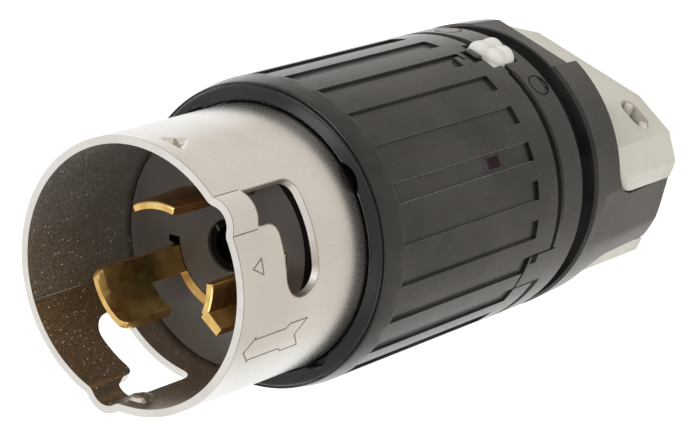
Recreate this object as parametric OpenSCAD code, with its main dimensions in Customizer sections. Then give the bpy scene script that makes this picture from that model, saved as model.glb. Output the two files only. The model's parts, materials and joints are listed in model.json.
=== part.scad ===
// Three-blade 50 A locking power plug with a metal shroud.
// It stands on its cord end: +Z runs along the plug toward the mating end,
// and the origin is on the axis at the rear face of the housing.
// The cord clamp jaws slide along Y and the release latch presses in along -Y.

/* [Overall] */
// Length from the rear face of the housing to the rim of the shell
total_len = 158; // [150:1:170]
// Outside diameter of the metal shell
shell_d = 56; // [53:0.1:60]
// How far the ribbed body stands out round the shell, on the radius
body_wall = 4.9; // [4.7:0.1:6]
// Wall of the metal shell
shell_wall = 1.6; // [1.2:0.1:1.8]
// Length of shell that stands out of the body
shell_out = 40.3; // [38:0.1:44]

/* [Bayonet slots] */
// Direction of the first bayonet channel, in degrees from +X
slot_a = 57; // [50:1:60]
// Direction of the second bayonet channel
slot_b = -82; // [-90:1:-75]
// Half width of a channel, in degrees
chan_half = 7.7; // [6:0.1:9]
// Angle from the channel's centre to the closed end of its slot
slot_sweep = 40.5; // [34:0.5:46]
// Distance from the rim to the start of the window
chan_len = 7.8; // [6:0.1:10]
// Distance from the rim to the front edge of the slot
slot_front = 13.7; // [12:0.1:15]
// Distance from the rim to the rear edge of the slot
slot_rear = 24; // [22:0.1:26]
// How far a channel is pressed outward
chan_rise = 1.7; // [1:0.1:2]

/* [Blades] */
// Distance from the shell's bore in to the hollow side of the blades
blade_gap = 13.5; // [12.5:0.1:14.5]
// Thickness of the blades
blade_t = 2; // [1.5:0.1:2.4]
// Distance from the rim to the front of the blades
blade_back = 5.6; // [4:0.1:8]
// Length of a hooked head
head_len = 14.4; // [12:0.1:15]
// Distance from the rim to the insulating face
face_back = 31.5; // [29:0.1:33]

/* [Grip] */
// Number of long pockets round the body
pockets = 24; // [20:1:28]
// Share of the pitch that a pocket takes
pocket_share = 0.5; // [0.4:0.05:0.6]
// Depth of a pocket
pocket_deep = 0.7; // [0.4:0.1:0.9]
// Rear end of the pockets, from the rear face
pocket_z0 = 60.7; // [59:0.1:64]
// Distance from the front end of the pockets to the lip
pocket_back = 6.1; // [5:0.1:10]

/* [Cord clamp] */
// Radius of the cord tunnel
cord_r = 13; // [11:0.5:14]
// Distance of a jaw's flat back from the axis
jaw_top = 21.2; // [20:0.1:22]
// Distance of a jaw's ends from the axis when closed
jaw_low = 8.3; // [8.3:0.1:9]
// Distance of the clamp screws in from the side of the grip
screw_in = 12.4; // [12:0.1:13]
// Height of the clamp screws above the rear face
screw_z = 7.4; // [6:0.1:9]
// Radius of a clamp screw
screw_r = 1.75; // [1.5:0.05:1.9]

/* [Hidden] */
$fn = 96;

nickel = "#c9c6bf";
nylon = "#2b2b2d";
phenolic = "#242425";
brass = "#c9a24a";
ivory = "#dcd8cf";
zinc = "#b4b6b8";

e = 0.02;             // how far a cut runs past a face
gap = 0.3;            // clearance between pieces that move
shell_ro = shell_d / 2;
shell_ri = shell_ro - shell_wall;
body_r = shell_ro + body_wall;
lip_z = total_len - shell_out;      // front face of the lip
face_z = total_len - face_back;     // front face of the insulator
pocket_z1 = lip_z - pocket_back;
flange_z = lip_z - 6.7;             // rear of the shell's flange
seat_r = body_r - 2.3;              // bore of the body round the flanges
flange_r = seat_r - 0.2;
ring_r = body_r - 1.35;             // outside of the face ring
base_z = flange_z - 13;             // rear of the contact base
base_r = shell_ri - 0.2;
blade_r = shell_ri - blade_gap;     // inner radius of the curved blades
rim_z = base_z + 8;                 // step where the base's rim sits
rim_r = shell_ro - 0.2;
body_z = 52.4;                      // rear edge of the ribbed body
split_z = 50.8;                     // front edge of the rear housing's ring
spigot_r = seat_r - 0.3;
spigot_z = (body_z + base_z) / 2;   // front end of the spigot
well_r = spigot_r - 6.7;            // radius of the wiring space
boot_z0 = 36.8;                     // groove for a rubber boot
boot_z1 = 42.4;
boot_r = body_r - 3.3;
grip_r = body_r - 1.7;                      // rear grip beside the jaws
pad_y = body_r - 3.1;               // flat pads on the collar
collar_z = 26;                      // rear face of the collar
waist = jaw_low - gap;              // half width of the housing between the jaws
jaw_z0 = 0.2;
screw_x = grip_r - screw_in;
jaw_x = grip_r - 0.8;
jaw_flat = jaw_x - 15.4;            // half width of a jaw's flat back
jaw_round = 7;                      // round of a jaw's front edges
head_y = jaw_top - 5.7;             // floor of a screw's recess
nut_y = jaw_top - 9.7;              // floor of a nut's recess
jaw_z1 = collar_z - 0.4;
latch_x = 1.3;                      // middle of the latch, off the jaws' axis
latch_z = 50.4;                     // middle of the latch
latch_y = body_r - 1.9;                       // height of the latch's lobes
lobe_r = 2.8;
lobe_x = 2.7;                       // half the spacing of the lobes
lobe_half = 3.5;
assembly_x = spigot_r - 3.5;                    // housing screws from the axis

// A sector of a ring between two radii, two angles and two heights.
module sector(r0, r1, a0, a1, z0, z1)
    translate([0, 0, z0]) rotate([0, 0, a0])
        rotate_extrude(angle = a1 - a0) translate([r0, 0])
            square([r1 - r0, z1 - z0]);

module tube(r0, r1, z0, z1)
    translate([0, 0, z0]) difference() {
        cylinder(r = r1, h = z1 - z0);
        translate([0, 0, -e]) cylinder(r = r0, h = z1 - z0 + 2 * e);
    }

// A rod along Z that rounds the corner of a cut, set by angle and height.
module radial_rod(a, z, r, r0, r1)
    rotate([0, 0, a]) translate([r0, 0, z]) rotate([0, 90, 0])
        cylinder(r = r + 0.04, h = r1 - r0, $fn = 48);

// The raised entry channel: a small tube standing at the wall of the shell.
chan_c = 24.3;
chan_ro = shell_ro + chan_rise - chan_c;
chan_ri = chan_ro - shell_wall;
module channel_skin(a)
    rotate([0, 0, a]) translate([chan_c, 0, total_len - chan_len - 0.6])
        cylinder(r = chan_ro, h = chan_len + 2.1, $fn = 64);
module channel_cut(a)
    rotate([0, 0, a]) translate([chan_c, 0, total_len - chan_len - 2])
        cylinder(r = chan_ri, h = chan_len + 5, $fn = 64);

// The J-shaped window: the end of the channel and the slot beside it.
slot_end_r = (slot_rear - slot_front) / 2;
end_deg = slot_end_r / shell_ro * 57.3;
corner = 3;
corner_deg = corner / shell_ro * 57.3;
module bayonet_window(a) {
    z0 = total_len - slot_rear;
    z1 = total_len - slot_front;
    z2 = total_len - chan_len;
    sector(22, 34, a - slot_sweep + end_deg, a + chan_half - corner_deg, z0, z1);
    sector(22, 34, a - chan_half, a + chan_half, z0 + corner, z2);
    radial_rod(a - slot_sweep + end_deg, (z0 + z1) / 2, slot_end_r, 22, 34);
    radial_rod(a + chan_half - corner_deg, z0 + corner, corner, 22, 34);
}

dents = [97.5, -69.5];
// A small three-sided dent pressed in from outside, near the rim.
module dent_cut(a)
    rotate([0, 0, a]) translate([shell_ro + 0.5, 0, total_len - 5.8])
        rotate([0, -90, 0]) cylinder(r1 = 3.4, r2 = 0.6, h = 1.3, $fn = 3);
module dent_bump(a)
    rotate([0, 0, a]) translate([shell_ri + 1.9, 0, total_len - 5.8])
        sphere(r = 2.6, $fn = 32);

module shell()
    color(nickel) difference() {
        union() {
            difference() {
                union() {
                    translate([0, 0, flange_z])
                        cylinder(r = shell_ro, h = total_len - flange_z + 1);
                    translate([0, 0, flange_z]) cylinder(r = flange_r, h = shell_wall);
                    for (a = [slot_a, slot_b]) channel_skin(a);
                }
                translate([0, 0, flange_z - 1])
                    cylinder(r = shell_ri, h = total_len);
                translate([0, 0, total_len]) cylinder(r = 45, h = 5);
                for (a = [slot_a, slot_b]) {
                    channel_cut(a);
                    bayonet_window(a);
                }
            }
            for (a = dents) intersection() {
                dent_bump(a);
                cylinder(r = shell_ri + 0.5, h = 200);
            }
        }
        for (a = dents) dent_cut(a);
    }

module face_ring()
    color(nylon) difference() {
        rotate_extrude() polygon([
            [shell_ro + 0.25, flange_z + shell_wall + 0.1],
            [ring_r, flange_z + shell_wall + 0.1],
            [ring_r, lip_z - 0.8], [ring_r - 0.25, lip_z - 0.25],
            [ring_r - 0.8, lip_z], [shell_ro + 0.65, lip_z],
            [shell_ro + 0.25, lip_z - 0.4]]);
        for (a = [-123, -33, 57, 147]) rotate([0, 0, a])
            translate([25.4, 0, lip_z - 2.2]) cylinder(r = 4.5, h = 3, $fn = 48);
    }

module body_profile()
    polygon([
        [seat_r, body_z], [body_r - 0.5, body_z], [body_r, body_z + 0.6],
        [body_r, pocket_z1 + 0.4], [body_r - 0.6, lip_z - 1.3],
        [body_r - 0.85, lip_z - 0.7],
        [ring_r + 0.2, lip_z - 0.7], [ring_r + 0.2, flange_z + shell_wall],
        [seat_r, flange_z + shell_wall], [seat_r, rim_z],
        [shell_ro, rim_z], [shell_ro, base_z - 0.2], [well_r, base_z - 0.2],
        [well_r, spigot_z + 0.6], [seat_r, spigot_z + 0.6]]);

module front_body() {
    pitch = 360 / pockets;
    w = pitch * pocket_share;
    color(nylon) difference() {
        rotate_extrude() body_profile();
        for (i = [0 : pockets - 1])
            sector(body_r - pocket_deep, body_r + 3, i * pitch - w / 2,
                i * pitch + w / 2, pocket_z0, pocket_z1);
        // notches for the tongues of the rear housing
        for (a = [0, 180]) sector(seat_r - 1.6, body_r + 3, a - 12, a + 4,
            body_z - 1, body_z + 9);
        // notch and relief slot for the latch
        translate([latch_x - lobe_x - lobe_r - gap, latch_y - 4, body_z - 1])
            cube([2 * (lobe_x + lobe_r + gap), 9, 7]);
        translate([latch_x - 0.9, latch_y - 2, body_z]) cube([1.8, 6, 11]);
        translate([latch_x - 2.2, latch_y - 2, body_z + 9]) cube([4, 6, 1.8]);
        for (s = [-1, 1]) translate([s * assembly_x, 0, spigot_z])
            cylinder(r = screw_r + 0.05, h = base_z - spigot_z - 10, $fn = 32);
    }
}

// Angles that a blade fills: foot and head run from a0 to a1, the shank to am.
large = [-149, -124, -93];
plain = [86, 106, 127.5];
keyed = [-2, 9, 24.5];
keyed_shift = 1.25;                  // it stands this far outside the others' circle
large_mid = (large[0] + large[1]) / 2;
plain_mid = (plain[0] + plain[1]) / 2;
keyed_mid = (keyed[0] + keyed[1]) / 2;
ground_mid = -75;

// Moves a piece outward at an angle.
module shifted(a, out) translate([out * cos(a), out * sin(a), 0]) children();

module blade_slot(b, play = 0.15)
    sector(blade_r - play, blade_r + blade_t + play, b[0] - 0.7, b[2] + 0.7,
        base_z - 1, face_z + 1);

module contact_base()
    color(phenolic) difference() {
        union() {
            cylinder(r = base_r, h = face_z - 0.5);
            cylinder(r = base_r - 0.5, h = face_z);
            cylinder(r = flange_r, h = flange_z);
            cylinder(r = rim_r, h = rim_z);
        }
        translate([0, 0, -1]) cylinder(r = 40, h = base_z + 1);
        tube(rim_r, body_r + 5, base_z - 1, rim_z + 0.1);
        for (b = [large, plain]) blade_slot(b);
        shifted(keyed_mid, keyed_shift) {
            blade_slot(keyed);
            keyed_leg(0.15, base_z - 1, face_z + 1);
        }
        translate([0, 0, base_z - 1]) cylinder(r = 4, h = 40, $fn = 48);
        translate([0, 0, face_z - 0.8]) cylinder(r = 5.5, h = 2, $fn = 48);
        sector(blade_r + 0.2, blade_r + 2.6, -160, -152.5, face_z - 6, face_z + 1);
        // slot for the ground strap, out to the shell's flange
        rotate([0, 0, ground_mid]) {
            translate([strap_x - 6.3, -strap_w / 2 - 0.2, base_z - e])
                cube([8, strap_w + 0.4, 3.2]);
            translate([strap_x - 0.2, -strap_w / 2 - 0.2, base_z - e])
                cube([10, strap_w + 0.4, flange_z - base_z + 1]);
        }
        // hollow at the back, over each wire terminal
        for (p = terminal_places) rotate([0, 0, p[0]])
            translate([blade_r - 0.5, -term_w / 2 - 0.8, base_z - e])
                cube([term_deep + 3.2, term_w + 1.6, 3.2]);
    }

// A curved blade: wide foot in the base, narrower shank, hooked head.
blade_z = total_len - blade_back;
head_z = blade_z - head_len;
tail_z = base_z - 9;
module blade(b) {
    r1 = blade_r + blade_t;
    mid = (b[0] + b[1]) / 2;
    difference() {
        rotate([0, 0, b[0]]) rotate_extrude(angle = b[2] - b[0]) polygon([
            [blade_r, tail_z], [r1, tail_z], [r1, blade_z - 0.4],
            [r1 - 0.4, blade_z], [blade_r + 0.5, blade_z],
            [blade_r, blade_z - 2.6]]);
        // notch behind the hook, and the sides of the tail
        sector(8, 20, b[1], b[2] + 5, face_z + 0.1, head_z);
        sector(8, 20, mid + 8, b[2] + 5, tail_z - 1, base_z + 6);
        sector(8, 20, b[0] - 5, mid - 8, tail_z - 1, base_z + 6);
    }
}

module blade_large()
    color(brass) difference() {
        blade(large);
        head_corner(large[2], -1);
        head_corner(large[0], 1);
    }

// Rounds off a front corner of a blade's head.
module head_corner(a, side)
    difference() {
        sector(blade_r - 2, blade_r + blade_t + 2,
            side > 0 ? a - 1 : a - 12, side > 0 ? a + 12 : a + 1,
            blade_z - 3, blade_z + 1);
        radial_rod(a + side * 12, blade_z - 3, 3, 8, 20);
    }

module blade_plain() color(brass) blade(plain);

// The keyed blade's leg is bent outward at the edge of its curve.
leg_len = 4;
leg_turn = -15;
module keyed_leg(play, z0, z1)
    rotate([0, 0, keyed[0]]) translate([blade_r + blade_t, 0, z0])
        rotate([0, 0, leg_turn]) translate([-1 - play, -0.57 * blade_t - play, 0])
            cube([leg_len + 1 + 2 * play, blade_t + 2 * play, z1 - z0]);

module blade_keyed()
    color(brass) shifted(keyed_mid, keyed_shift) {
        blade(keyed);
        keyed_leg(0, base_z + 6, blade_z);
    }

// Wire terminals stand behind the base, one at each blade's tail.
term_r = blade_r + blade_t + 0.05;
term_w = 11;
term_deep = well_r - term_r - 1.25;  // leaves a clearance to the body's well
term_z0 = base_z - 12;
wire_r = term_deep / 2 - 0.8;
// Each terminal's angle, and how far its inner side is shifted outward.
terminal_places = [[large_mid, 0], [plain_mid, 0], [keyed_mid, keyed_shift], [ground_mid, 0]];

module terminal(p)
    color(brass) rotate([0, 0, p[0]]) difference() {
        translate([term_r + p[1], -term_w / 2, term_z0])
            cube([term_deep - p[1], term_w, 12]);
        translate([term_r + (term_deep + p[1]) / 2 - 0.2, 0, term_z0 - 1])
            cylinder(r = wire_r - p[1] / 2, h = 10, $fn = 40);
        translate([term_r + 3, 0, term_z0 + 4.5]) rotate([0, 90, 0])
            cylinder(r = 1.75, h = 8, $fn = 32);
    }

module wire_screw(a)
    color(zinc) rotate([0, 0, a]) translate([term_r + term_deep - 2.8, 0, term_z0 + 4.5])
        rotate([0, 90, 0]) difference() {
            cylinder(r = 1.7, h = 3.7, $fn = 32);
            translate([-2, -0.3, 2.9]) cube([4, 0.6, 2]);
        }

module terminal_large() terminal(terminal_places[0]);
module terminal_plain() terminal(terminal_places[1]);
module terminal_keyed() terminal(terminal_places[2]);
module terminal_ground() terminal(terminal_places[3]);
module wire_screw_large() wire_screw(large_mid);
module wire_screw_plain() wire_screw(plain_mid);
module wire_screw_keyed() wire_screw(keyed_mid);
module wire_screw_ground() wire_screw(ground_mid);

// The strap joins the ground terminal to the flange of the shell.
strap_w = 8;
strap_t = 1.2;
strap_x = shell_ri - 0.1;                     // inner face of the leg that meets the flange
module ground_strap()
    color(brass) rotate([0, 0, ground_mid]) translate([0, -strap_w / 2, 0]) union() {
        translate([term_r - strap_t - 0.05, 0, term_z0 + 1])
            cube([strap_t, strap_w, base_z - term_z0 + 1.6]);
        translate([term_r - strap_t - 0.05, 0, base_z + 1.4])
            cube([strap_x - term_r + 2 * strap_t, strap_w, strap_t]);
        translate([strap_x, 0, base_z + 1.4])
            cube([strap_t, strap_w, flange_z - base_z - 1.4]);
    }

module housing_profile()
    polygon([
        [well_r, 30], [cord_r, 30], [cord_r, 0], [grip_r - 0.5, 0],
        [grip_r, 0.5], [body_r - 0.4, collar_z],
        [body_r, boot_z0 - 1], [body_r - 0.5, boot_z0], [boot_r, boot_z0],
        [boot_r, boot_z1], [body_r - 0.5, boot_z1], [body_r, boot_z1 + 0.5],
        [body_r, split_z - 0.5], [body_r - 0.5, split_z], [spigot_r, split_z],
        [spigot_r, spigot_z], [well_r, spigot_z]]);

// Side view of the space that a jaw moves in.
module jaw_room(r) {
    translate([waist, -1]) square([40 - waist, collar_z + 1 - r]);
    translate([waist + r, -1]) square([40 - waist - r, collar_z + 1]);
    translate([waist + r, collar_z - r]) circle(r = r);
}

// A shallow flat on each side of the grip, from the collar to the rear.
module grip_flat()
    translate([body_r, -0.6, boot_z0 - 1.8]) rotate([0, 0, 8]) rotate([0, 3.3, 0])
        rotate([-16.6, 0, 0]) translate([0, -4, -60]) cube([10, 40, 60]);

module rear_housing()
    color(nylon) difference() {
        union() {
            rotate_extrude() housing_profile();
            for (a = [0, 180]) sector(spigot_r - 1, body_r, a - 12 + 0.8,
                a + 4 - 0.8, split_z - 1, body_z + 8.2);
        }
        // room for the jaws above and below the waist, filleted at the collar
        for (s = [0, 180]) rotate([0, 0, s]) translate([-40, 0, 0])
            rotate([90, 0, 90]) linear_extrude(80) jaw_room(jaw_round + gap);
        // flat pads on the collar
        for (s = [0, 180]) rotate([0, 0, s]) translate([-16, pad_y, collar_z - 1])
            cube([24.6, 10, boot_z0 - collar_z + 0.5]);
        for (s = [0, 180]) rotate([0, 0, s]) grip_flat();
        // bores for the clamp screws
        for (s = [-1, 1]) translate([s * screw_x, -15, screw_z])
            rotate([-90, 0, 0]) cylinder(r = screw_r + gap, h = 30, $fn = 40);
        // bores and head recesses for the housing screws
        for (s = [-1, 1]) translate([s * assembly_x, 0, 0]) {
            translate([0, 0, 20])
                cylinder(r = screw_r + 0.15, h = spigot_z - 18, $fn = 40);
            translate([0, 0, -1]) cylinder(r = 3.4, h = 25, $fn = 40);
        }
        // pocket for the latch
        translate([latch_x - lobe_x - lobe_r - gap, latch_y - 6,
            latch_z - lobe_half - lobe_r - gap])
            cube([2 * (lobe_x + lobe_r + gap), 12,
                2 * (lobe_half + lobe_r + gap)]);
        translate([latch_x - 7.6 - gap, latch_y - 6, latch_z - 5])
            cube([15.2 + 2 * gap, 4.1, 10]);
    }

module housing_screw(s)
    color(zinc) translate([s * assembly_x, 0, 0]) difference() {
        union() {
            translate([0, 0, 23.5])
                cylinder(r = screw_r, h = base_z - 36, $fn = 32);
            translate([0, 0, 20.5]) cylinder(r = 3.2, h = 3.45, $fn = 40);
        }
        translate([-4, -0.5, 20]) cube([8, 1, 1.8]);
    }
module housing_screw_left() housing_screw(-1);
module housing_screw_right() housing_screw(1);

// A two-lobed push latch with a flange that keeps it in its pocket.
module latch()
    color(ivory) translate([latch_x, latch_y, latch_z]) union() {
        for (s = [-1, 1]) translate([s * lobe_x, 0, 0])
            rotate_extrude($fn = 48) intersection() {
                union() {
                    translate([0, -lobe_half]) square([lobe_r, 2 * lobe_half]);
                    for (t = [-1, 1]) translate([0, t * lobe_half]) circle(r = lobe_r);
                }
                translate([0, -10]) square([10, 20]);
            }
        translate([-5.2, -3, -5.6]) cube([10.4, 2.4, 11.2]);
        translate([-7.2, -4, -4.6]) cube([14.4, 1.6, 9.2]);
    }

// Outline of a clamp jaw seen along the plug's axis.
module jaw_outline()
    polygon([[-jaw_x, jaw_low], [-jaw_x + 0.5, jaw_top - 9],
        [-jaw_x + 5, jaw_top - 3.5], [-jaw_flat, jaw_top], [jaw_flat, jaw_top],
        [jaw_x - 5, jaw_top - 3.5], [jaw_x - 0.5, jaw_top - 9], [jaw_x, jaw_low]]);

// A rectangle with rounds of r at its rear corners and of rf at its front ones.
module rounded_side(x0, x1, r, rf, both) {
    translate([x0, jaw_z0 + r]) square([x1 - x0, jaw_z1 - jaw_z0 - r - rf]);
    translate([x0 + rf, jaw_z1 - rf - 1])
        square([x1 - x0 - (both ? 2 : 1) * rf, rf + 1]);
    translate([x0 + r, jaw_z0]) square([x1 - x0 - (both ? 2 : 1) * r, r + 1]);
    translate([x0 + rf, jaw_z1 - rf]) circle(r = rf);
    translate([x0 + r, jaw_z0 + r]) circle(r = r);
    if (both) {
        translate([x1 - rf, jaw_z1 - rf]) circle(r = rf);
        translate([x1 - r, jaw_z0 + r]) circle(r = r);
    }
}

module jaw(head)
    difference() {
        intersection() {
            translate([0, 0, jaw_z0]) linear_extrude(jaw_z1 - jaw_z0) jaw_outline();
            translate([-35, 0, 0]) rotate([90, 0, 90]) linear_extrude(70)
                rounded_side(jaw_low, jaw_top + 9, 1.6, jaw_round, false);
            translate([0, 40, 0]) rotate([90, 0, 0]) linear_extrude(50)
                rounded_side(-jaw_x + 0.15, jaw_x - 0.15, 0.8, jaw_round + 0.6, true);
        }
        // arch over the cord
        translate([0, 0, -1]) cylinder(r = cord_r, h = 30);
        for (s = [-1, 1]) {
            translate([s * screw_x, 0, screw_z]) rotate([-90, 0, 0])
                cylinder(r = screw_r + (head ? 0.15 : 0.05), h = 30, $fn = 40);
            if (head) {
                for (t = [-1, 1]) translate([s * screw_x + t * 1.25, head_y, screw_z])
                    rotate([-90, 0, 0]) cylinder(r = 2.85, h = 10, $fn = 40);
                translate([s * screw_x - 1.25, head_y, screw_z - 2.85])
                    cube([2.5, 10, 5.7]);
            } else translate([s * screw_x - 3, nut_y, screw_z - 3])
                cube([6, 15, 6]);
        }
    }

module upper_jaw() color(ivory) jaw(true);
module lower_jaw() color(ivory) mirror([0, 1, 0]) jaw(false);

module clamp_screw(s)
    color(zinc) translate([s * screw_x, 0, screw_z]) rotate([-90, 0, 0])
        difference() {
            union() {
                translate([0, 0, -nut_y - 6.5])
                    cylinder(r = screw_r, h = head_y + nut_y + 7, $fn = 32);
                translate([0, 0, head_y + 0.05]) cylinder(r = 2.6, h = 1.9, $fn = 40);
            }
            translate([-3, -0.4, head_y + 1.1]) cube([6, 0.8, 2]);
        }
module clamp_screw_left() clamp_screw(-1);
module clamp_screw_right() clamp_screw(1);

module clamp_nut(s)
    color(zinc) translate([s * screw_x, -nut_y - 0.05, screw_z]) rotate([90, 0, 0])
        difference() {
            translate([-2.9, -2.9, 0]) cube([5.8, 5.8, 2.6]);
            translate([0, 0, -1]) cylinder(r = screw_r + 0.05, h = 5, $fn = 40);
        }
module clamp_nut_left() clamp_nut(-1);
module clamp_nut_right() clamp_nut(1);

shell();
face_ring();
front_body();
contact_base();
blade_large();
blade_plain();
blade_keyed();
terminal_large();
terminal_plain();
terminal_keyed();
terminal_ground();
wire_screw_large();
wire_screw_plain();
wire_screw_keyed();
wire_screw_ground();
ground_strap();
rear_housing();
housing_screw_left();
housing_screw_right();
latch();
upper_jaw();
lower_jaw();
clamp_screw_left();
clamp_screw_right();
clamp_nut_left();
clamp_nut_right();
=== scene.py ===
# %% [markdown]
# This lesson dresses a locking power plug. Its solids come packed from CAD and
# are loaded as a fixed frame: every piece made here sits where those solids
# are, and moves with one of their bodies. The frame comes first, because all
# places and sizes are read from it.

# %% Load the frame
import json
import math

import bmesh
import bpy
from mathutils import Matrix, Vector


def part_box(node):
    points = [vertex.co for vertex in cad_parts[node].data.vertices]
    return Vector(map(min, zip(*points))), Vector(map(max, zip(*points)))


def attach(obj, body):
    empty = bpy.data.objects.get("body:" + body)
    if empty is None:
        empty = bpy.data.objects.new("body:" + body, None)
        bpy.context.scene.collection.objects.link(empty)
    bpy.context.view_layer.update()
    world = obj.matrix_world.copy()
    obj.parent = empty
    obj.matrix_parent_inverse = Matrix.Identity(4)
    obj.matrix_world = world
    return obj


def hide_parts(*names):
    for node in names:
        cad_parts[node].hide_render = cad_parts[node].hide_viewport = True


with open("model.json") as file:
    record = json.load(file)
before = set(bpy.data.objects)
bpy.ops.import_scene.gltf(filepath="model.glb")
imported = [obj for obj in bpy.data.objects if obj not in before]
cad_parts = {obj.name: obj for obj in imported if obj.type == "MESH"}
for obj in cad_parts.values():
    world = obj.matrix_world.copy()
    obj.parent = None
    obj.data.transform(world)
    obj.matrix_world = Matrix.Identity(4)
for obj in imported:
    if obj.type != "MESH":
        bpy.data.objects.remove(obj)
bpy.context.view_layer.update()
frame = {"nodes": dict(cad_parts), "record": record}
BODY_OF = {n: body for body, nodes in frame["record"]["behaviour"]["bodies"].items()
           for n in nodes}
MM = 0.001

# %% [markdown]
# The camera looks down on the mating end from the side of the latch. The plug
# stands on its cord end, so the camera is rolled until the plug seems to lie.
# A long lens keeps the shroud's mouth nearly round. A slight shift frames it
# without turning the camera away.

# %% Camera
AZIMUTH, ELEVATION, ROLL = 47.415, 50.776, -109.081     # degrees
CAMERA_PLACE = Vector((258.9, 265.3, 566.2)) * MM
FOCAL_LENGTH, SENSOR_WIDTH = 145.92, 36                 # in mm
SHIFT_RIGHT, SHIFT_UP = 0.08736, 0.08981                # shares of the picture's width
turned = (Matrix.Rotation(math.radians(AZIMUTH + 90), 3, "Z")
          @ Matrix.Rotation(math.radians(90 - ELEVATION), 3, "X")
          @ Matrix.Rotation(math.radians(ROLL), 3, "Z"))
TOWARD_CAMERA = turned.col[2].copy()
camera = bpy.data.objects.new("camera", bpy.data.cameras.new("camera"))
bpy.context.scene.collection.objects.link(camera)
camera.data.lens = FOCAL_LENGTH
camera.data.sensor_width = SENSOR_WIDTH
camera.data.shift_x = SHIFT_RIGHT
camera.data.shift_y = SHIFT_UP
camera.matrix_world = Matrix.Translation(CAMERA_PLACE) @ turned.to_4x4()
bpy.context.scene.camera = camera
bpy.context.scene.view_settings.view_transform = "Standard"
print("camera looks from", [round(v, 3) for v in TOWARD_CAMERA])

# %% [markdown]
# Every finish is made of nodes. A small helper makes a material or a node
# group and wires it from short lists, so that each finish below reads as a
# list of what it does. Groups hold only patterns; the shader and its constant
# values stay in the material.

# %% Helpers for nodes
def node(tree, kind, **inputs):
    """A shader node with its inputs set: _0 is the first, and a socket is linked."""
    made = tree.nodes.new(kind)
    for key, value in inputs.items():
        key = int(key[1:]) if key[0] == "_" and key[1:].isdigit() else key.replace("_", " ")
        socket = made.inputs[key]
        if isinstance(value, bpy.types.NodeSocket):
            tree.links.new(value, socket)
        else:
            socket.default_value = value
    return made


def math_node(tree, operation, a, b=0.0):
    made = node(tree, "ShaderNodeMath", _0=a, _1=b)
    made.operation = operation
    return made.outputs[0]


def mix_colour(tree, factor, a, b):
    made = tree.nodes.new("ShaderNodeMix")
    made.data_type = "RGBA"
    for name, value in (("Factor_Float", factor), ("A_Color", a), ("B_Color", b)):
        socket = next(s for s in made.inputs if s.identifier == name)
        if isinstance(value, bpy.types.NodeSocket):
            tree.links.new(value, socket)
        else:
            socket.default_value = value
    return next(s for s in made.outputs if s.identifier == "Result_Color")


def remap(tree, value, low, high, to_low=0.0, to_high=1.0):
    """A smooth change from one value to another as the input goes from low to high."""
    made = node(tree, "ShaderNodeMapRange", Value=value, From_Min=low, From_Max=high,
                To_Min=to_low, To_Max=to_high)
    made.interpolation_type = "SMOOTHSTEP"
    return made.outputs[0]


def new_group(name, inputs, outputs):
    tree = bpy.data.node_groups.new(name, "ShaderNodeTree")
    for title, kind, value in inputs:
        made = tree.interface.new_socket(name=title, in_out="INPUT", socket_type=kind)
        if value is not None:
            made.default_value = value
    for title, kind in outputs:
        tree.interface.new_socket(name=title, in_out="OUTPUT", socket_type=kind)
    return tree, tree.nodes.new("NodeGroupInput").outputs, tree.nodes.new("NodeGroupOutput").inputs


FLOAT, VECTOR = "NodeSocketFloat", "NodeSocketVector"
print("helpers for nodes are ready")

# %% [markdown]
# Moulded plastic and plated metal both vary at two sizes: broad cloudy patches
# from handling, and a fine grain from the surface itself. One group gives both
# from a position in millimetres, so each finish only chooses sizes and weights.
# Three more groups give dust specks, fine scratches, and the angle and radius
# round the plug's axis.

# %% Pattern groups
tree, pattern_in, pattern_out = new_group(
    "cloud and grain",
    [("Position", VECTOR, None), ("Cloud size", FLOAT, 12.0), ("Grain size", FLOAT, 0.3)],
    [("Cloud", FLOAT), ("Grain", FLOAT)])
cloud = node(tree, "ShaderNodeTexNoise", Vector=pattern_in["Position"], Detail=3.0,
             Scale=math_node(tree, "DIVIDE", 1.0, pattern_in["Cloud size"]))
grain = node(tree, "ShaderNodeTexNoise", Vector=pattern_in["Position"], Detail=2.0,
             Scale=math_node(tree, "DIVIDE", 1.0, pattern_in["Grain size"]))
tree.links.new(remap(tree, cloud.outputs["Fac"], 0.3, 0.7), pattern_out["Cloud"])
tree.links.new(grain.outputs["Fac"], pattern_out["Grain"])
CLOUD_AND_GRAIN = tree

tree, dust_in, dust_out = new_group(
    "dust specks",
    [("Position", VECTOR, None), ("Spacing", FLOAT, 2.0), ("Speck radius", FLOAT, 0.12),
     ("Share", FLOAT, 0.4)],
    [("Mask", FLOAT)])
cells = node(tree, "ShaderNodeTexVoronoi", Vector=dust_in["Position"],
             Scale=math_node(tree, "DIVIDE", 1.0, dust_in["Spacing"]))
near = math_node(tree, "MULTIPLY", cells.outputs["Distance"], dust_in["Spacing"])
chosen = math_node(tree, "LESS_THAN", node(
    tree, "ShaderNodeSeparateColor", Color=cells.outputs["Color"]).outputs[0], dust_in["Share"])
speck = math_node(tree, "LESS_THAN", near, dust_in["Speck radius"])
tree.links.new(math_node(tree, "MULTIPLY", speck, chosen), dust_out["Mask"])
DUST_SPECKS = tree

tree, line_in, line_out = new_group(
    "fine scratches",
    [("Position", VECTOR, None), ("Density", FLOAT, 0.5)], [("Mask", FLOAT)])
stretched = node(tree, "ShaderNodeMapping", Vector=line_in["Position"], Scale=(0.5, 0.5, 6.0),
                 Rotation=(0.5, 0.35, 0.2))
streak = node(tree, "ShaderNodeTexNoise", Vector=stretched.outputs[0], Scale=0.8, Detail=4.0)
tree.links.new(math_node(tree, "MULTIPLY", remap(tree, streak.outputs["Fac"], 0.62, 0.72),
                         line_in["Density"]), line_out["Mask"])
SCRATCHES = tree

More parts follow.
